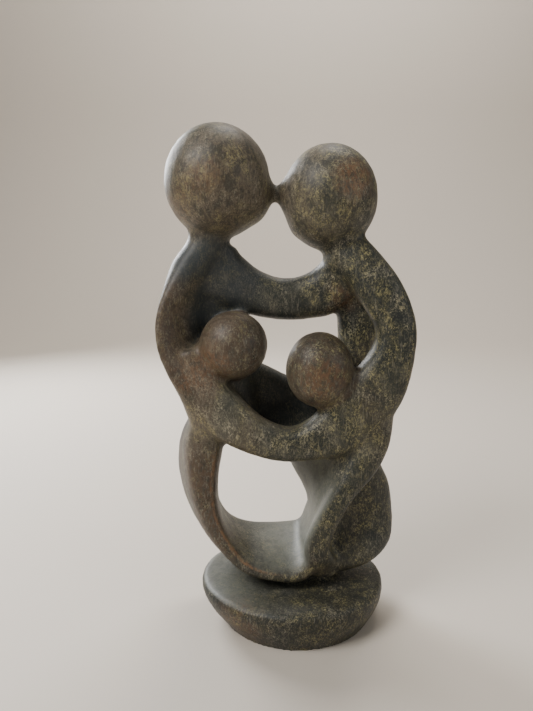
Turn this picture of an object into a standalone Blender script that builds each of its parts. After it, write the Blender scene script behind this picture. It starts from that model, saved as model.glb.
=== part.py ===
"""A family of four carved from one block of speckled green stone, standing on its own low round plinth."""

import math

import bmesh
import bpy
from mathutils import Matrix, Vector

# Sizes in metres. The origin is the middle of the plinth's underside, and the figures face -Y. The rim and
# the figures stand a little to the left of it.
figureHeight = 0.257
plinthHeight = 0.024
plinthWidth = 0.108
plinthDepth = 0.094
footWidth = 0.087
footDepth = 0.080
rimShift = -0.0026
figureShift = -0.0036
rimRound = 0.003
seatDepth = 0.004

# The figures are drawn 257 high, measured up from the plinth's top, so each place below is a share of that.
drawnHeight = 257
unit = figureHeight / drawnHeight

# How finely the masses are merged, how far their edges are rubbed round, and how many facets stay.
mergeGrain = figureHeight / 150
rubs = 5
facetShare = 0.088
ringSides = 28
ringsPerStation = 6
plinthSides = 64
swellRows = 10
rimRows = 3

# How far along a limb, in stations, its direction is read from, and how many plinths wide the floor cut is.
pathStep = 0.05
cutSpan = 3

levelAcross = Vector((1, 0, 0))
uprightAcross = Vector((0, 0, 1))

# Each ball is its centre and its half width, half depth and half height.
balls = {
    "left parent's head": ((-40.8, 4, 226.3), (28.7, 28.5, 30.6)),
    "right parent's head": ((20.4, 3, 217.8), (26, 26.5, 28.6)),
    "left child's head": ((-32.2, -8, 138.5), (18.9, 18.9, 18.9)),
    "right child's head": ((14.7, -14, 126), (18.4, 18.6, 20.8)),
}

# Each station of a limb is x, y, z, half width and half depth. A sixth value leans the back edge across the
# path, and a seventh widens it there.
kiss = [
    (-26, 3, 223.5, 23, 22),
    (-17.5, 3, 223.5, 18.4, 17),
    (-13.5, 3, 221.5, 11.2, 10.5),
    (-9.4, 3, 220.3, 3.5, 3.6),
    (-4.2, 3, 218.3, 9.8, 9.5),
    (0.4, 3, 215.5, 17, 16),
    (8, 3, 215, 22, 21),
]
leftSide = [
    (-45.8, 5, 206, 11, 11.5),
    (-46.4, 5, 195, 11.4, 11.5),
    (-52.4, 4, 183, 14, 12.5, 3, 0.2),
    (-59, 2, 169, 11.2, 15, 6.4, 0.4),
    (-62, 0, 154, 9, 18, 9.4, 0.5),
    (-61.4, -2, 140, 8.6, 19, 9.6, 0.5),
    (-57, -3, 125, 9.2, 20, 7.6, 0.35),
    (-49.8, -3, 110, 11, 20, 4, 0.1),
    (-46, -2, 97, 12, 19, 1, 0),
    (-48, 0, 84, 11, 18, -2, 0.12),
]
leftBack = [
    (-44, 8, 192, 13, 10.5),
    (-45, 10, 178, 19, 9.5),
    (-46, 12, 162, 20, 9),
    (-46, 13.5, 146, 20, 8.5),
    (-45, 13.5, 130, 20, 9),
    (-44, 12, 115, 19, 10),
    (-45, 8, 100, 15, 10),
    (-47, 3, 84, 8, 9),
]
bridge = [
    (-50, 8, 179, 15, 9.5),
    (-39, 8.5, 176, 18, 10),
    (-28, 9.5, 170.8, 16, 10),
    (-19, 10, 165.9, 13.4, 10),
    (-8, 11, 162.8, 12.2, 9.5),
    (3, 11, 162.6, 12.3, 9.5),
    (13, 10, 165.4, 14, 9.5),
    (23, 8, 171.5, 18, 9.5),
    (34, 6, 177, 15, 9.5),
]
rightNeck = [
    (24, 3, 205, 12, 12),
    (27.3, 3, 194, 11, 12),
    (30, 4, 184, 12, 12.5),
    (34, 8, 170, 13, 12),
]
rightBack = [
    (28, 4, 192, 8, 9),
    (33, 7, 177, 11, 10.5),
    (41, 11, 162, 15, 10.5),
    (45.5, 13, 146, 18.4, 10),
    (44.5, 12, 128, 17, 10),
    (39, 11, 110, 15, 11),
    (36, 7, 94, 14, 12),
    (34, 3, 78, 9, 10),
]
rightSide = [
    (34, 0, 186, 6, 9),
    (45, 0, 173, 8, 12),
    (53.5, 0, 158, 8.5, 14, -2),
    (57, 0, 142, 8.5, 15, -3),
    (54, 0, 122, 8.5, 15, -2),
    (47, 0, 104, 8, 15, -2),
    (42, 0, 88, 8, 14, -2),
]
rightRibbon = [
    (27, 1, 193, 11, 11),
    (36, -3, 183.6, 11.4, 11),
    (47, -8, 168.4, 12, 10.5),
    (54.8, -11, 152, 11.2, 9.5),
    (55.4, -12, 138, 11.2, 9.5),
    (48.8, -13, 120, 14.6, 10),
    (38, -13, 105, 17, 11),
    (26, -14, 94, 15, 10),
    (16, -15, 88.5, 12.4, 9.5),
    (6, -15, 85.2, 9.8, 9.5),
]
frontArm = [
    (-59, -6, 136, 8, 11),
    (-53, -9, 120, 11, 11.5),
    (-46, -11, 109, 13, 12),
    (-34, -14, 98.5, 12.4, 10.5),
    (-24, -15, 91.5, 10.8, 9.5),
    (-13, -15, 86.6, 9.6, 9.5),
    (-3, -15, 84.4, 9.2, 9.5),
    (6, -15, 85.2, 9.8, 9.5),
    (16, -15, 88.5, 12.4, 9.5),
]
backArm = [
    (-46, 12, 117, 20, 9),
    (-30, 14, 110, 20.5, 8.5),
    (-15, 15.5, 103.5, 20, 8),
    (-1, 16, 98, 18.6, 8),
    (14, 15.5, 95, 17.5, 8.5),
    (30, 13, 97, 19, 9),
    (42, 12, 108, 16, 10),
]
nestFloor = [
    (-44, 0, 94, 8, 15),
    (-28, 1, 86, 6.5, 19),
    (-10, 1, 80.5, 5.5, 20),
    (8, 1, 81, 6, 20),
    (28, 1, 86, 9, 20),
    (44, 1, 92, 9, 16),
]
cup = [
    (-46, 0, 102, 9, 13),
    (-48.3, 0, 90, 11.2, 17.5, -1.2, 0.12),
    (-51.4, 0, 77, 12, 20, -2.8, 0.22),
    (-52.8, 0.5, 64, 11, 21, -4, 0.28),
    (-51.8, 1, 49, 9.4, 22.5, -5, 0.3),
    (-47.8, 1, 35, 8, 24, -5.6, 0.3),
    (-39, 1, 22.5, 7.2, 25, -4.6, 0.34),
    (-25, 1, 13.9, 6.6, 25.5, 0, 0.34),
    (-8, 1, 11.6, 6, 25.5, 3, 0.34),
    (4, 1, 12.2, 6.4, 25, 3.6, 0.3),
    (12.5, 1, 19, 5.4, 24.5, 1.8, 0.25),
    (16.5, 1, 31, 5.5, 24, 1, 0.2),
    (18, 1, 43, 4, 22, 0, 0.2),
]
rightRidge = [
    (46.5, -11, 100, 10, 9),
    (44.6, -13, 86, 9.6, 8.5),
    (40.6, -14.5, 75.5, 9, 7.5),
    (35.2, -16.5, 67, 7.8, 6.8),
    (30.4, -18, 60.5, 6.8, 6.3),
    (26, -19, 54, 6.4, 6),
    (21.8, -19.5, 46, 6.3, 6),
    (17, -20, 36, 6.5, 6),
    (14, -20, 26, 7.4, 6),
    (16.6, -18, 17.5, 8, 6.5),
    (20.5, -13, 10.5, 8, 6.5),
    (24, -5, 6, 7, 6.5),
]
rightWeb = [
    (28, 0, 90, 16, 16, -4, 0.2),
    (25, 0, 76, 16.5, 19, -9, 0.42),
    (23.4, 1, 62, 13.8, 22, -7, 0.53),
    (22.6, 1, 45, 10.8, 22.5, 1.2, 0.48),
    (21, 1, 35, 10, 23, 4.2, 0.48),
    (18.2, 1, 26, 10.2, 23, 4.2, 0.5),
    (17.6, 1, 15, 11.9, 22, 1.6, 0.45),
    (19, 1, 5, 11, 19, 0, 0.3),
]
rightFlank = [
    (39, 0, 86, 10, 13),
    (39.5, 2, 71, 11.6, 14),
    (40, 4, 56, 17.8, 14),
    (39.6, 6, 41, 21.2, 15),
    (38.4, 5.5, 30, 23, 16.5),
    (36.2, 3.5, 20, 23, 18),
    (30.5, 1, 11.5, 19.5, 17),
    (24, 1, 5, 13, 12),
]
leftChildNeck = [
    (-36, 2, 134, 12, 12),
    (-36, 6, 122, 14, 12),
    (-35, 8, 108, 15, 12),
    (-33, 8, 94, 15, 12),
]
rightChildNeck = [
    (20, -12, 118, 12, 9),
    (28, -9, 108, 13, 10),
    (34, -6, 98, 14, 12),
]
stand = [
    (3, 3, 9, 23, 14),
    (3, 3, 0, 22, 14),
    (3, 3, -seatDepth / unit, 22, 14),
]

# Each limb is its stations, how square its section is, and the way its width lies where it doesn't follow the path.
limbs = [
    (kiss, 2, uprightAcross),
    (leftSide, 2.4, levelAcross),
    (leftBack, 2.6, levelAcross),
    (bridge, 2.5, uprightAcross),
    (rightNeck, 2.2, levelAcross),
    (rightBack, 2.6, levelAcross),
    (rightSide, 2.6, levelAcross),
    (rightRibbon, 3, None),
    (frontArm, 3.4, None),
    (backArm, 2.8, uprightAcross),
    (nestFloor, 2.6, uprightAcross),
    (cup, 4, None),
    (rightRidge, 3, None),
    (rightWeb, 4, levelAcross),
    (rightFlank, 2.5, levelAcross),
    (leftChildNeck, 2.2, levelAcross),
    (rightChildNeck, 2.2, levelAcross),
    (stand, 2.4, levelAcross),
]


def clearScene():
    for thing in list(bpy.data.objects):
        bpy.data.objects.remove(thing)


def stoneMaterial():
    stone = bpy.data.materials.new("speckled_serpentine")
    stone.use_nodes = True
    shader = stone.node_tree.nodes["Principled BSDF"]
    shader.inputs["Base Color"].default_value = (0.085, 0.08, 0.062, 1)
    shader.inputs["Roughness"].default_value = 0.42
    shader.inputs["Metallic"].default_value = 0
    return stone


def smoothStation(stations, place):
    """The station at this place on a smooth curve through all of them, counted from 0."""
    last = len(stations) - 1
    first = min(int(place), last - 1)
    t = place - first
    near = [stations[max(0, min(last, first + k))] for k in (-1, 0, 1, 2)]
    weights = (
        (-t + 2 * t * t - t**3) / 2,
        (2 - 5 * t * t + 3 * t**3) / 2,
        (t + 4 * t * t - 3 * t**3) / 2,
        (t**3 - t * t) / 2,
    )
    return [sum(weight * station[i] for weight, station in zip(weights, near)) for i in range(7)]


def figurePoint(x, y, z):
    """A place on the figures, in metres above the floor."""
    return Vector((x, y, z)) * unit + Vector((figureShift, 0, plinthHeight))


def bridgeRings(mesh, rings):
    """Joins closed rings of points into one body with a cap at each end."""
    rows = [[mesh.verts.new(point) for point in ring] for ring in rings]
    made = [mesh.faces.new(rows[0]), mesh.faces.new(rows[-1])]
    for lower, upper in zip(rows, rows[1:]):
        for k in range(len(lower)):
            after = (k + 1) % len(lower)
            made.append(mesh.faces.new((lower[k], lower[after], upper[after], upper[k])))
    bmesh.ops.recalc_face_normals(mesh, faces=made)


def squaredCircle(squareness):
    """Points round a circle that grows squarer as squareness passes 2."""
    points = []
    for k in range(ringSides):
        angle = 2 * math.pi * k / ringSides
        c, s = math.cos(angle), math.sin(angle)
        u = math.copysign(abs(c) ** (2 / squareness), c)
        v = math.copysign(abs(s) ** (2 / squareness), s)
        points.append((u, v))
    return points


def carveLimb(mesh, stations, squareness, across):
    """A limb along its stations: its width lies across the path or the way given, and its depth along y."""
    whole = [(*station, 0, 0)[:7] for station in stations]
    last = len(whole) - 1
    rings = []
    for step in range(last * ringsPerStation + 1):
        place = step / ringsPerStation
        x, y, z, wide, deep, lean, flare = smoothStation(whole, place)
        ahead = smoothStation(whole, min(place + pathStep, last))
        behind = smoothStation(whole, max(place - pathStep, 0))
        side = across or Vector((behind[2] - ahead[2], 0, ahead[0] - behind[0])).normalized()
        ring = []
        for u, v in squaredCircle(squareness):
            offset = u * wide * (1 + flare * v) + lean * v
            ring.append(figurePoint(x, y + v * deep, z) + side * offset * unit)
        rings.append(ring)
    bridgeRings(mesh, rings)


def carveBall(mesh, centre, halves):
    place = Matrix.Translation(figurePoint(*centre))
    size = Matrix.Diagonal((*[half * unit for half in halves], 1))
    bmesh.ops.create_icosphere(mesh, subdivisions=4, radius=1, matrix=place @ size)


def carvePlinth(mesh):
    """A low bowl of stone: a narrow foot that runs on below the floor cut, a swelling side and a rounded rim."""
    profile = [(footWidth / 2, footDepth / 2, -plinthHeight / 2, 0)]
    for row in range(swellRows + 1):
        rise = row / swellRows
        swell = math.sin(rise * math.pi / 2)
        halfWidth = (footWidth + (plinthWidth - footWidth) * swell) / 2
        halfDepth = (footDepth + (plinthDepth - footDepth) * swell) / 2
        profile.append((halfWidth, halfDepth, rise * (plinthHeight - rimRound), rise * rimShift))
    for row in range(1, rimRows + 1):
        angle = row / rimRows * math.pi / 2
        inward = rimRound * (1 - math.cos(angle))
        up = plinthHeight - rimRound * (1 - math.sin(angle))
        profile.append((plinthWidth / 2 - inward, plinthDepth / 2 - inward, up, rimShift))
    angles = [2 * math.pi * k / plinthSides for k in range(plinthSides)]
    rings = []
    for halfWidth, halfDepth, z, shift in profile:
        rings.append([(shift + halfWidth * math.cos(a), halfDepth * math.sin(a), z) for a in angles])
    bridgeRings(mesh, rings)


def carveMasses(mesh):
    for centre, halves in balls.values():
        carveBall(mesh, centre, halves)
    for stations, squareness, across in limbs:
        carveLimb(mesh, stations, squareness, across)
    carvePlinth(mesh)


def floorBlock(mesh):
    side = cutSpan * max(plinthWidth, plinthDepth)
    place = Matrix.Translation((0, 0, -plinthHeight))
    size = Matrix.Diagonal((side, side, 2 * plinthHeight, 1))
    bmesh.ops.create_cube(mesh, size=1, matrix=place @ size)


def meshObject(name, build):
    mesh = bmesh.new()
    build(mesh)
    data = bpy.data.meshes.new(name)
    mesh.to_mesh(data)
    mesh.free()
    thing = bpy.data.objects.new(name, data)
    bpy.context.scene.collection.objects.link(thing)
    return thing


def buildCarving():
    carving = meshObject("family_carving", carveMasses)
    carving.data.materials.append(stoneMaterial())
    carving.data.shade_smooth()
    merge = carving.modifiers.new("merge the masses", "REMESH")
    merge.mode = "VOXEL"
    merge.voxel_size = mergeGrain
    rub = carving.modifiers.new("rub the edges round", "SMOOTH")
    rub.factor = 0.5
    rub.iterations = rubs
    facets = carving.modifiers.new("keep the main facets", "DECIMATE")
    facets.ratio = facetShare
    floor = meshObject("floor_cutter", floorBlock)
    floor.hide_render = True
    floor.display_type = "WIRE"
    cut = carving.modifiers.new("cut the underside flat", "BOOLEAN")
    cut.operation = "DIFFERENCE"
    cut.object = floor
    cut.solver = "EXACT"


clearScene()
buildCarving()
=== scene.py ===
import math
from types import SimpleNamespace

import bmesh
import bpy
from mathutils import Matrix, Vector


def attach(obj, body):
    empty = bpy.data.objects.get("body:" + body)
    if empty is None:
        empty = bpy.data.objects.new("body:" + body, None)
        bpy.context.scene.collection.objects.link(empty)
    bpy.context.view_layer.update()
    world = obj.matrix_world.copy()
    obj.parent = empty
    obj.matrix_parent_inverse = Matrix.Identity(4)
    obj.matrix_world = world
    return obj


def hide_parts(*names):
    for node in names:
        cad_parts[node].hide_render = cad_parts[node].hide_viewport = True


# A family of four carved from one block of speckled serpentine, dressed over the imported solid.
# Lengths are metres, +Z is up and the family faces -Y.

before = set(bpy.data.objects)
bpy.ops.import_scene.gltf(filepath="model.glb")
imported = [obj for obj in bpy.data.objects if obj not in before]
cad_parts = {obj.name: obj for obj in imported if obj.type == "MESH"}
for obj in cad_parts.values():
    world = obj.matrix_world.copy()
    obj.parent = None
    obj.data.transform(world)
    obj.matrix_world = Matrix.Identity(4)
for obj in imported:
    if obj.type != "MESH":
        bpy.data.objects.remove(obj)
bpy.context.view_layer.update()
print("frame loaded:", sorted(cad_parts))


# camera

cameraSet = {
    "place": (-0.0176, -0.32, 0.21),
    "tiltDown": 9.7,          # degrees below level
    "focal": 575,             # pixels
    "frameHeight": 711,       # pixels, the frame's long side
    "sensor": 36,             # mm, along the long side
    "nearest": 0.01,
}


def makeCamera(given):
    data = bpy.data.cameras.new("photoCamera")
    data.sensor_width = given["sensor"]
    data.lens = given["focal"] / given["frameHeight"] * given["sensor"]
    data.clip_start = given["nearest"]
    camera = bpy.data.objects.new("photoCamera", data)
    camera.location = given["place"]
    camera.rotation_euler = (math.radians(90 - given["tiltDown"]), 0, 0)
    bpy.context.scene.collection.objects.link(camera)
    bpy.context.scene.camera = camera


makeCamera(cameraSet)
print("camera placed")


# node expressions

class Wire:
    # one output in a node tree: arithmetic on it adds Math nodes
    def __init__(self, graph, socket):
        self.graph = graph
        self.socket = socket

    def maths(self, operation, first, second=0):
        return self.graph.node("ShaderNodeMath", {"operation": operation}, {0: first, 1: second})

    def __add__(self, other):
        return self.maths("ADD", self, other)

    def __sub__(self, other):
        return self.maths("SUBTRACT", self, other)

    def __rsub__(self, other):
        return self.maths("SUBTRACT", other, self)

    def __mul__(self, other):
        return self.maths("MULTIPLY", self, other)

    __radd__ = __add__
    __rmul__ = __mul__

    def atLeast(self, other):
        return self.maths("MAXIMUM", self, other)


class Graph:
    def __init__(self, tree):
        self.tree = tree

    def node(self, kind, settings=None, sockets=None, output=0):
        made = self.tree.nodes.new(kind)
        for name, value in (settings or {}).items():
            setattr(made, name, value)
        for name, value in (sockets or {}).items():
            if isinstance(value, Wire):
                self.feed(value, made.inputs[name])
            else:
                made.inputs[name].default_value = value
        return Wire(self, made.outputs[output])

    def feed(self, wire, socket):
        self.tree.links.new(wire.socket, socket)

    # the three parts of a vector
    def apart(self, vector):
        split = self.tree.nodes.new("ShaderNodeSeparateXYZ")
        self.feed(vector, split.inputs[0])
        return [Wire(self, output) for output in split.outputs]

    def vectors(self, operation, first, second, output=0):
        return self.node("ShaderNodeVectorMath", {"operation": operation}, {0: first, 1: second}, output)

    # a place shifted sideways and up by a wobble, so that round spots get ragged edges
    def jittered(self, where, wobble, reach):
        shift = self.node("ShaderNodeCombineXYZ", {}, {0: wobble * reach, 2: wobble * reach})
        return self.vectors("ADD", where, shift)

    def attribute(self, name):
        return self.node("ShaderNodeAttribute", {"attribute_name": name}, {}, output=2)

    # 0 below low, 1 above high, smooth between
    def rise(self, value, low, high):
        return self.node(
            "ShaderNodeMapRange",
            {"interpolation_type": "SMOOTHSTEP"},
            {"Value": value, "From Min": low, "From Max": high},
        )

    # 1 below low, 0 above high, smooth between
    def fall(self, value, low, high):
        return 1 - self.rise(value, low, high)

    def noise(self, where, scale, detail=3, rough=0.55, distortion=0, stretch=None, turn=(0, 0, 0)):
        if stretch:
            where = self.node("ShaderNodeMapping", {}, {"Vector": where, "Scale": stretch, "Rotation": turn})
        return self.node(
            "ShaderNodeTexNoise",
            {},
            {
                "Vector": where,
                "Scale": scale,
                "Detail": detail,
                "Roughness": rough,
                "Distortion": distortion,
            },
        )

    def cells(self, where, scale):
        return self.node("ShaderNodeTexVoronoi", {"feature": "F1"}, {"Vector": where, "Scale": scale})

    def mix(self, factor, first, second):
        return self.node("ShaderNodeMix", {"data_type": "RGBA"}, {0: factor, 6: first, 7: second}, output=2)


# the stone

stoneSet = {
    "groundDark": (0.014, 0.018, 0.018, 1),
    "groundGrey": (0.086, 0.083, 0.063, 1),
    "groundWarm": (0.104, 0.080, 0.056, 1),
    # blue-black of the painted shade inside the shell
    "shadeBlue": (0.025, 0.034, 0.040, 1),
    "fleckOchre": (0.305, 0.268, 0.122, 1),
    "fleckPale": (0.330, 0.300, 0.215, 1),
    # pale of the painted highlight on faces turned to the light
    "sheenPale": (0.135, 0.140, 0.120, 1),
    "rust": (0.185, 0.094, 0.045, 1),
    "orange": (0.210, 0.112, 0.052, 1),
    "brown": (0.072, 0.044, 0.028, 1),
    "pit": (0.008, 0.009, 0.010, 1),
    "poresPerMetre": 420,
    "roughness": 0.42,        # of the smoothest stone
    "wax": 0.05,
    "waxRoughness": 0.40,
    "specular": 0.36,
    "bumpStrength": 0.35,
    "bumpDepth": 0.00035,
}

# how many waves of each pattern fit in a metre, and how it is broken up, stretched and turned
stonePatterns = {
    "cloud": {"scale": 24, "detail": 4, "distortion": 0.6},
    "smallCloud": {"scale": 120},
    "warmth": {"scale": 14, "detail": 2, "stretch": (1, 1, 0.6)},
    "wobble": {"scale": 120, "detail": 4, "rough": 0.7},
    "fine": {"scale": 1250, "rough": 0.62, "distortion": 0.8, "stretch": (1, 1, 0.7), "turn": (0.3, 0.7, 0)},
    "coarse": {
        "scale": 760, "detail": 4, "rough": 0.68, "distortion": 1.3,
        "stretch": (1, 1, 0.72), "turn": (0.2, 0.8, 0),
    },
    "drift": {"scale": 52, "distortion": 0.4},
    "clump": {"scale": 160, "detail": 4, "rough": 0.6, "stretch": (1, 1, 0.7), "turn": (0, 0.8, 0)},
    "mottle": {
        "scale": 200, "detail": 5, "rough": 0.72, "distortion": 0.8,
        "stretch": (1, 1, 0.7), "turn": (0, 0.8, 0),
    },
    "grains": {"scale": 620, "detail": 4, "rough": 0.75, "stretch": (1, 1, 0.5)},
    "poreDrift": {"scale": 60},
    "hair": {"scale": 1150, "detail": 2, "rough": 0.5, "stretch": (1, 1, 0.16), "turn": (0.25, 0.9, 0.1)},
    "sheen": {"scale": 160},
}

# where the stone changes: each soft step's start and end in metres, across, in depth or up
zoneSteps = {
    "right": (-0.030, 0.040),
    "loopTop": (0.095, 0.120),
    "armFoot": (0.098, 0.108),
    "armTop": (0.126, 0.142),
    "armBack": (-0.018, -0.008),
    "ribbonTop": (0.110, 0.165),
    "plinthShadeTop": (0.020, 0.045),
    "shellFront": (-0.011, 0.000),
    "shellBack": (0.017, 0.026),
    "shellFoot": (0.112, 0.128),
    "shellTop": (0.196, 0.222),
    "shellLeft": (-0.070, -0.060),
    "shellRight": (-0.038, 0.004),
    "neckFoot": (0.186, 0.204),
    "neckTop": (0.212, 0.230),
    "nestFront": (-0.004, 0.003),
    "nestFoot": (0.096, 0.106),
    "nestTop": (0.138, 0.152),
    "cupFoot": (0.030, 0.040),
    "cupLeft": (-0.042, -0.008),
    "cupRight": (0.014, 0.028),
    "plinthTop": (0.026, 0.032),
    "plinthRight": (-0.045, 0.010),
    "leftEdge": (0.058, 0.070),
    "leftEdgeTop": (0.185, 0.212),
    "legEdge": (0.030, 0.042),
    "legFoot": (0.030, 0.050),
    "legBack": (-0.016, -0.006),
    "rimFoot": (0.032, 0.040),
    "rimBack": (-0.018, -0.010),
    "rimRight": (-0.014, 0.006),
}

# where the iron stain shows: place, reach and strength
rustStains = [
    ((-0.052, -0.026, 0.152), 0.015, 0.60),   # lower left of the left child's head
    ((0.012, -0.036, 0.148), 0.014, 0.50),    # middle of the right child's head
    ((0.030, -0.021, 0.252), 0.013, 0.80),    # upper right of the right parent's head
    ((-0.050, -0.026, 0.250), 0.012, 0.35),   # middle of the left parent's head
    ((-0.070, -0.010, 0.236), 0.015, 0.35),   # left of the same head
    ((0.026, 0.004, 0.190), 0.011, 0.50),     # shell behind the right parent's front arm
    ((-0.036, -0.040, 0.010), 0.018, 0.40),   # front left of the plinth's side
]
stainSet = {"core": 0.3, "fringe": 1.3, "ragged": 0.028}

# the children's heads are browner all over: middle and reach
brownHeads = [
    ((-0.0358, -0.008, 0.1625), 0.0215),
    ((0.0111, -0.014, 0.1500), 0.0225),
]
headBrownSet = {"core": 0.97, "strength": 0.70}


def spotMask(graph, where, spots):
    total = None
    for place, inner, outer, strength in spots:
        away = graph.vectors("DISTANCE", where, place, output=1)
        mask = graph.fall(away, inner, outer) * strength
        total = mask if total is None else total.atLeast(mask)
    return total


# where a point lies, how it is turned and how far it stands out
def readPlaces(graph):
    where = graph.node("ShaderNodeTexCoord", output=3)
    sideways, depth, height = graph.apart(where)
    return SimpleNamespace(
        where=where,
        sideways=sideways,
        depth=depth,
        height=height,
        convex=graph.attribute("convex"),
        upward=graph.attribute("upward"),
        rightward=graph.attribute("rightward"),
        wobble=graph.noise(where, **stonePatterns["wobble"]) - 0.5,
    )


def readPatterns(graph, where):
    chosen = ("fine", "coarse", "drift", "clump", "mottle", "grains", "hair")
    return SimpleNamespace(**{name: graph.noise(where, **stonePatterns[name]) for name in chosen})


# masks for the parts of the carving that are coloured in their own way, and for the painted shade and
# painted highlight
def markZones(graph, at, steps):
    def rise(value, name):
        return graph.rise(value, *steps[name])

    def fall(value, name):
        return graph.fall(value, *steps[name])

    toRight = rise(at.sideways + at.wobble * 0.03, "right")
    low = fall(at.height, "loopTop")
    armBand = rise(at.height, "armFoot") * fall(at.height, "armTop") * fall(at.depth, "armBack")
    # painted shade on the lower right, below the ribbon's top; it also thins the flecks there
    rightLow = toRight * fall(at.height, "ribbonTop") * (1 - armBand * 0.7)

    # painted shade: the shaded inside of the taller parent's shell, the neck over it and the nest
    ragged = at.height + at.wobble * 0.02
    shell = rise(at.depth + at.wobble * 0.006, "shellFront") * fall(at.depth, "shellBack")
    shell = shell * rise(at.height, "shellFoot") * fall(ragged, "shellTop") * rise(at.sideways, "shellLeft")
    neck = rise(ragged, "neckFoot") * fall(ragged, "neckTop")
    nest = rise(at.depth, "nestFront") * fall(at.depth, "shellBack")
    nest = nest * rise(at.height, "nestFoot") * fall(at.height, "nestTop") * 0.8
    paintedShellShade = (shell.atLeast(neck) * fall(at.sideways + at.wobble * 0.02, "shellRight")).atLeast(nest)

    # painted highlight: faces that look up or to the left inside the loop of the legs, and up off the
    # plinth, where the light from behind and to the left glances off the wax
    inLoop = low * rise(at.height, "cupFoot") * rise(at.sideways, "cupLeft") * fall(at.sideways, "cupRight")
    lookUp = graph.rise(at.upward + at.wobble * 0.5, 0.25, 0.85)
    lookLeft = graph.rise(0 - at.rightward + at.wobble * 0.4, 0.25, 0.80)
    onPlinth = graph.rise(at.upward + at.wobble * 0.4, 0.50, 0.95) * fall(at.height, "plinthTop")
    onPlinth = onPlinth * fall(at.sideways + at.wobble * 0.03, "plinthRight") * 0.95
    paintedSheen = (lookUp.atLeast(lookLeft) * inLoop).atLeast(onPlinth)

    # the brown left edge and left leg, and the worn inner rim of that leg
    leftEdge = rise(0 - at.sideways + at.wobble * 0.014, "leftEdge") * fall(at.height, "leftEdgeTop")
    leftLeg = rise(0 - at.sideways + at.wobble * 0.010, "legEdge") * low
    leftLeg = leftLeg * rise(at.height, "legFoot") * fall(at.depth, "legBack")
    inside = at.rightward.atLeast(at.upward)
    rim = graph.rise(inside, 0.30, 0.50) * graph.fall(inside, 0.66, 0.84) * graph.rise(at.convex, 0.05, 0.30)
    rim = rim * low * rise(at.height, "rimFoot") * fall(at.depth, "rimBack")
    rim = rim * fall(at.sideways + at.wobble * 0.02, "rimRight")

    # calm mutes flecks, pores and scratches under the painted shade and the painted highlight
    return SimpleNamespace(
        toRight=toRight, armBand=armBand, rightLow=rightLow, paintedShellShade=paintedShellShade, paintedSheen=paintedSheen,
        calm=1 - (paintedShellShade * 0.7).atLeast(paintedSheen * 0.75), plinthShade=fall(at.height, "plinthShadeTop"),
        leftEdge=leftEdge, leftLeg=leftLeg, rim=rim,
    )


# broad clouds of dark and of grey-green ground, warmer to the left, with painted shade and a painted
# highlight laid over them
def groundColour(graph, at, zone, given):
    cloud = graph.noise(at.where, **stonePatterns["cloud"])
    smallCloud = graph.noise(at.where, **stonePatterns["smallCloud"])
    warmth = graph.noise(at.where, **stonePatterns["warmth"])
    patches = graph.rise(cloud * 0.55 + smallCloud * 0.45 - zone.toRight * 0.05, 0.38, 0.60)
    warmMask = graph.rise(warmth - zone.toRight * 0.08, 0.40, 0.58) * 0.8
    # painted shade: the lower right and the foot of the plinth are darkened
    shade = (zone.rightLow * 0.62).atLeast(zone.plinthShade * 0.88)
    ground = graph.mix(patches, given["groundDark"], given["groundGrey"])
    ground = graph.mix(warmMask, ground, given["groundWarm"])
    ground = graph.mix(shade, ground, given["groundDark"])
    # painted shade: blue-black inside the shell, on the neck and in the nest
    ground = graph.mix(zone.paintedShellShade * 0.9, ground, given["shadeBlue"])
    # painted highlight: faces turned to the light from behind and to the left are paled
    return graph.mix(zone.paintedSheen * 0.8, ground, given["sheenPale"])


# how strongly the coarse flecks cover the ground: more towards the right and in drifts
def coarseCover(graph, pattern, zone, clump):
    bright = graph.rise(zone.toRight * 0.46 + pattern.drift, 0.36, 0.84).atLeast(zone.armBand * 0.85)
    cover = graph.rise(pattern.coarse, 0.51, 0.61) * (bright * 0.60 + 0.26)
    return cover * (clump * 0.75 + 0.25) * zone.calm * (1 - zone.rightLow * 0.25)


# pale and ochre flecks, fine and coarse, and dark mottles between them
def fleckColour(graph, colour, pattern, zone, given, clump, coarseFleck):
    fineFleck = graph.rise(pattern.fine, 0.48, 0.64) * (clump * 0.34 + 0.14) * zone.calm
    fineFleck = fineFleck * (1 - zone.rightLow * 0.4)
    ochre = graph.rise(pattern.drift + zone.toRight * 0.1, 0.42, 0.60)
    fleckHue = graph.mix(ochre, given["fleckPale"], given["fleckOchre"])
    colour = graph.mix(fineFleck, colour, fleckHue)
    colour = graph.mix(coarseFleck, colour, fleckHue)
    darkCoarse = graph.fall(pattern.coarse, 0.36, 0.47) * 0.6
    darkMottle = graph.fall(pattern.mottle, 0.40, 0.52) * 0.62
    dark = darkCoarse.atLeast(darkMottle) * (zone.calm * 0.8 + 0.2) * (1 - zone.armBand * 0.5)
    return graph.mix(dark, colour, given["groundDark"])


# iron stain in spots, along the left edge, down the left leg and on its worn rim
def stainColour(graph, colour, at, pattern, zone, given, coarseFleck):
    grains = graph.rise(pattern.grains, 0.38, 0.60)
    spots = [
        (place, reach * stainSet["core"], reach * stainSet["fringe"], strength)
        for place, reach, strength in rustStains
    ]
    stains = spotMask(graph, graph.jittered(at.where, at.wobble, stainSet["ragged"]), spots)
    heads = [
        (place, reach * headBrownSet["core"], reach, headBrownSet["strength"]) for place, reach in brownHeads
    ]
    headBrown = spotMask(graph, at.where, heads) * (1 - coarseFleck * 0.8)
    brown = (zone.leftEdge * 0.7).atLeast(zone.leftLeg * 0.9).atLeast(headBrown)
    colour = graph.mix(brown * (grains * 0.75 + 0.2), colour, given["brown"])
    colour = graph.mix(stains * (grains * 0.85 + 0.08), colour, given["rust"])
    return graph.mix(zone.rim * (grains * 0.70 + 0.12), colour, given["orange"])


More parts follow.
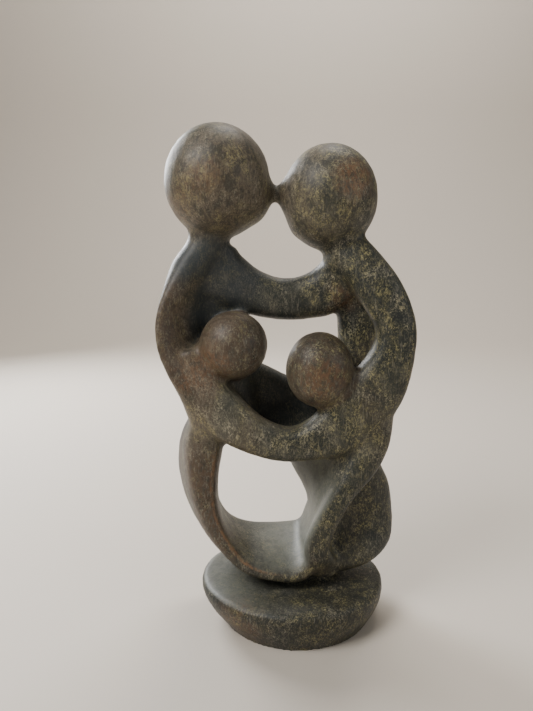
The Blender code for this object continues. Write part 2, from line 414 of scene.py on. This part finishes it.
def makeStone(given):
    material = bpy.data.materials.new("speckledSerpentine")
    material.use_nodes = True
    graph = Graph(material.node_tree)
    shader = material.node_tree.nodes["Principled BSDF"]
    at = readPlaces(graph)
    pattern = readPatterns(graph, at.where)
    zone = markZones(graph, at, zoneSteps)
    clump = graph.rise(pattern.clump, 0.40, 0.60)
    coarseFleck = coarseCover(graph, pattern, zone, clump)
    colour = groundColour(graph, at, zone, given)
    colour = fleckColour(graph, colour, pattern, zone, given, clump, coarseFleck)
    colour = stainColour(graph, colour, at, pattern, zone, given, coarseFleck)

    # painted shade in the tight corners, dark pores and pale hair-fine scratches
    corner = graph.rise(0 - at.convex, 0.25, 1.1)
    poreDrift = graph.noise(at.where, **stonePatterns["poreDrift"])
    pores = graph.fall(graph.cells(at.where, given["poresPerMetre"]), 0.10, 0.24)
    pores = pores * graph.rise(poreDrift, 0.5, 0.62) * zone.calm
    scratches = graph.rise(pattern.hair, 0.57, 0.69) * 0.24 * zone.calm
    colour = graph.mix(corner * 0.65, colour, given["groundDark"])
    colour = graph.mix(pores * 0.7, colour, given["pit"])
    colour = graph.mix(scratches, colour, given["fleckPale"])
    graph.feed(colour, shader.inputs["Base Color"])

    # satin wax, duller where the flecks are rough
    sheen = graph.noise(at.where, **stonePatterns["sheen"])
    roughness = sheen * 0.16 + given["roughness"] + coarseFleck * 0.10 + pores * 0.2
    graph.feed(roughness, shader.inputs["Roughness"])
    shader.inputs["Coat Weight"].default_value = given["wax"]
    shader.inputs["Coat Roughness"].default_value = given["waxRoughness"]
    shader.inputs["Specular IOR Level"].default_value = given["specular"]
    shader.inputs["Metallic"].default_value = 0

    # fine relief of grain, pores and scratches
    relief = pattern.fine * 0.35 + pattern.coarse * 0.45 + pattern.hair * 0.18 - pores * 0.5
    bump = graph.node(
        "ShaderNodeBump",
        {},
        {"Height": relief, "Strength": given["bumpStrength"], "Distance": given["bumpDepth"]},
    )
    graph.feed(bump, shader.inputs["Normal"])
    return material


# the carving

carvingSet = {
    "seamGap": 0.00001,       # corners closer than this are one
    "grain": 0.00125,         # spacing of the fine skin
    "rubs": 6,                # passes that rub the facets away
    "rubStrength": 0.5,
    "waveSize": 55,           # hand-rubbed waves per metre
    "waveDepth": 0.0007,
    "fileSize": 330,          # file marks per metre
    "fileDepth": 0.00012,
    "rimReach": 8,            # blur passes that tell a rim from a broad face
    "rimRise": 0.0011,        # how far a sharp rim stands out of its blurred form
    "rimLift": 0.7,           # how much further such rims and grooves are cut
    "footGap": 0.0006,        # corners lower than this lie on the floor
    "seed": 3,
}

# the inputs of the hand finish, with their kinds and the settings they take
finishInputs = {
    "Wave size": ("NodeSocketFloat", "waveSize"),
    "Wave depth": ("NodeSocketFloat", "waveDepth"),
    "File size": ("NodeSocketFloat", "fileSize"),
    "File depth": ("NodeSocketFloat", "fileDepth"),
    "Rim reach": ("NodeSocketInt", "rimReach"),
    "Rim rise": ("NodeSocketFloat", "rimRise"),
    "Rim lift": ("NodeSocketFloat", "rimLift"),
    "Foot gap": ("NodeSocketFloat", "footGap"),
    "Seed": ("NodeSocketFloat", "seed"),
}


def addSocket(tree, name, direction, kind):
    return tree.interface.new_socket(name=name, in_out=direction, socket_type=kind).identifier


# the tree, and the value of each of its inputs by identifier
def handFinishTree(material, given):
    tree = bpy.data.node_groups.new("handFinish", "GeometryNodeTree")
    addSocket(tree, "Stone", "INPUT", "NodeSocketGeometry")
    addSocket(tree, "Stone", "OUTPUT", "NodeSocketGeometry")
    values = {}
    for name, (kind, setting) in finishInputs.items():
        values[addSocket(tree, name, "INPUT", kind)] = given[setting]
    graph = Graph(tree)
    taken = tree.nodes.new("NodeGroupInput")
    put = {name: Wire(graph, taken.outputs[name]) for name in ("Stone", *finishInputs)}
    place = graph.node("GeometryNodeInputPosition")
    normal = graph.node("GeometryNodeInputNormal")
    height = graph.apart(place)[2]
    facing = graph.apart(normal)

    def ripple(size, depth, detail):
        wave = graph.node(
            "ShaderNodeTexNoise",
            {"noise_dimensions": "4D"},
            {"W": put["Seed"], "Scale": put[size], "Detail": detail},
        )
        return (wave - 0.5) * put[depth]

    def stored(geometry, name, value):
        return graph.node(
            "GeometryNodeStoreNamedAttribute", {}, {"Geometry": geometry, "Name": name, "Value": value}
        )

    # how far each point stands out of its blurred form
    blurred = graph.node(
        "GeometryNodeBlurAttribute",
        {"data_type": "FLOAT_VECTOR"},
        {"Value": place, "Iterations": put["Rim reach"]},
    )
    proud = graph.vectors("DOT_PRODUCT", graph.vectors("SUBTRACT", place, blurred), normal, output=1)
    convex = proud.maths("DIVIDE", proud, put["Rim rise"])

    # hand-rubbed waves, file marks and crisper rims; the flat underside stays flat
    depth = ripple("Wave size", "Wave depth", 1) + ripple("File size", "File depth", 3)
    depth = depth + proud * convex.maths("ABSOLUTE", convex) * put["Rim lift"]
    offset = graph.node("ShaderNodeVectorMath", {"operation": "SCALE"}, {0: normal, 3: depth})
    above = graph.node("FunctionNodeCompare", {"operation": "GREATER_THAN"}, {0: height, 1: put["Foot gap"]})
    moved = graph.node(
        "GeometryNodeSetPosition", {}, {"Geometry": put["Stone"], "Selection": above, "Offset": offset}
    )
    marked = stored(moved, "convex", convex)
    marked = stored(marked, "upward", facing[2])
    marked = stored(marked, "rightward", facing[0])

    whole = graph.node("GeometryNodeRealizeInstances", {}, {"Geometry": marked})
    dressed = graph.node("GeometryNodeSetMaterial", {}, {"Geometry": whole, "Material": material})
    graph.feed(dressed, tree.nodes.new("NodeGroupOutput").inputs[0])
    return tree, values


def applyModifiers(piece):
    graph = bpy.context.evaluated_depsgraph_get()
    mesh = bpy.data.meshes.new_from_object(piece.evaluated_get(graph), depsgraph=graph)
    piece.modifiers.clear()
    piece.data = mesh


# the underside lies flat on the floor at height 0
def flattenFoot(mesh, gap):
    for corner in mesh.vertices:
        if corner.co.z < gap:
            corner.co.z = 0


def makeCarving(node, material, given):
    mesh = node.data.copy()
    work = bmesh.new()
    work.from_mesh(mesh)
    bmesh.ops.remove_doubles(work, verts=work.verts[:], dist=given["seamGap"])
    work.to_mesh(mesh)
    work.free()
    carving = bpy.data.objects.new("familyCarving", mesh)
    bpy.context.scene.collection.objects.link(carving)
    skin = carving.modifiers.new("fine skin", "REMESH")
    skin.mode = "VOXEL"
    skin.voxel_size = given["grain"]
    skin.use_smooth_shade = True
    rub = carving.modifiers.new("rub the facets away", "SMOOTH")
    rub.factor = given["rubStrength"]
    rub.iterations = given["rubs"]
    finish = carving.modifiers.new("hand finish", "NODES")
    finish.node_group, values = handFinishTree(material, given)
    for identifier, value in values.items():
        finish[identifier] = value
    bpy.context.view_layer.update()
    applyModifiers(carving)
    flattenFoot(carving.data, given["footGap"])
    carving.data.shade_smooth()
    return carving


stone = makeStone(stoneSet)
carving = makeCarving(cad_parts["family_carving"], stone, carvingSet)
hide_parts("family_carving")
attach(carving, "root")
print("carving made:", sum(len(face.vertices) - 2 for face in carving.data.polygons), "triangles")


# floor and light

stageSet = {
    "coveWidth": 5.0,
    "coveFront": -2.0,
    "coveBack": 1.7,
    "coveHeight": 2.6,
    "coveBend": 0.7,         # radius of the bend behind
    "bendRows": 12,
    "coveColour": (0.60, 0.545, 0.475, 1),
    "coveRoughness": 0.7,
    "worldColour": (0.80, 0.78, 0.75, 1),
    "worldStrength": 0.22,
}

# name, place, aim, width, watts, colour
softLights = [
    ("leftKey", (-0.58, -0.46, 0.84), (-0.01, 0, 0.18), 0.50, 9, (1.0, 0.97, 0.93)),
    ("backWindow", (-0.52, 0.62, 0.52), (0, 0, 0.12), 0.45, 11, (0.97, 0.98, 1.0)),
    ("rightFill", (0.80, -0.50, 0.50), (0, 0, 0.18), 0.70, 2.0, (1.0, 0.98, 0.95)),
    ("wallWash", (0.2, 0.75, 1.9), (0, 1.7, 0.6), 0.9, 32, (1.0, 0.96, 0.91)),
]


# the cove's outline from the side, as places in depth and height
def coveProfile(given):
    bend = given["coveBend"]
    back = given["coveBack"]
    profile = [(given["coveFront"], 0)]
    for row in range(given["bendRows"] + 1):
        turn = row / given["bendRows"] * math.pi / 2
        profile.append((back - bend + bend * math.sin(turn), bend - bend * math.cos(turn)))
    profile.append((back, given["coveHeight"]))
    return profile


# a pale floor that bends up behind the carving, so that no edge of it shows from the front
def makeFloor(given):
    profile = coveProfile(given)
    half = given["coveWidth"] / 2
    corners = [(side, y, z) for y, z in profile for side in (-half, half)]
    faces = [(2 * k, 2 * k + 1, 2 * k + 3, 2 * k + 2) for k in range(len(profile) - 1)]
    mesh = bpy.data.meshes.new("floor")
    mesh.from_pydata(corners, [], faces)
    mesh.shade_smooth()
    floor = bpy.data.objects.new("floor", mesh)
    bpy.context.scene.collection.objects.link(floor)
    material = bpy.data.materials.new("paleFloor")
    material.use_nodes = True
    shader = material.node_tree.nodes["Principled BSDF"]
    shader.inputs["Base Color"].default_value = given["coveColour"]
    shader.inputs["Roughness"].default_value = given["coveRoughness"]
    mesh.materials.append(material)


def makeWorld(given):
    world = bpy.data.worlds.new("studio")
    world.use_nodes = True
    sky = world.node_tree.nodes["Background"]
    sky.inputs["Color"].default_value = given["worldColour"]
    sky.inputs["Strength"].default_value = given["worldStrength"]
    bpy.context.scene.world = world


def makeLights(lights):
    for name, place, aim, width, watts, colour in lights:
        data = bpy.data.lights.new(name, "AREA")
        data.shape = "DISK"
        data.size = width
        data.energy = watts
        data.color = colour
        light = bpy.data.objects.new(name, data)
        light.location = place
        light.rotation_euler = (Vector(aim) - Vector(place)).to_track_quat("-Z", "Y").to_euler()
        bpy.context.scene.collection.objects.link(light)


makeFloor(stageSet)
makeWorld(stageSet)
makeLights(softLights)
print("stage lit")
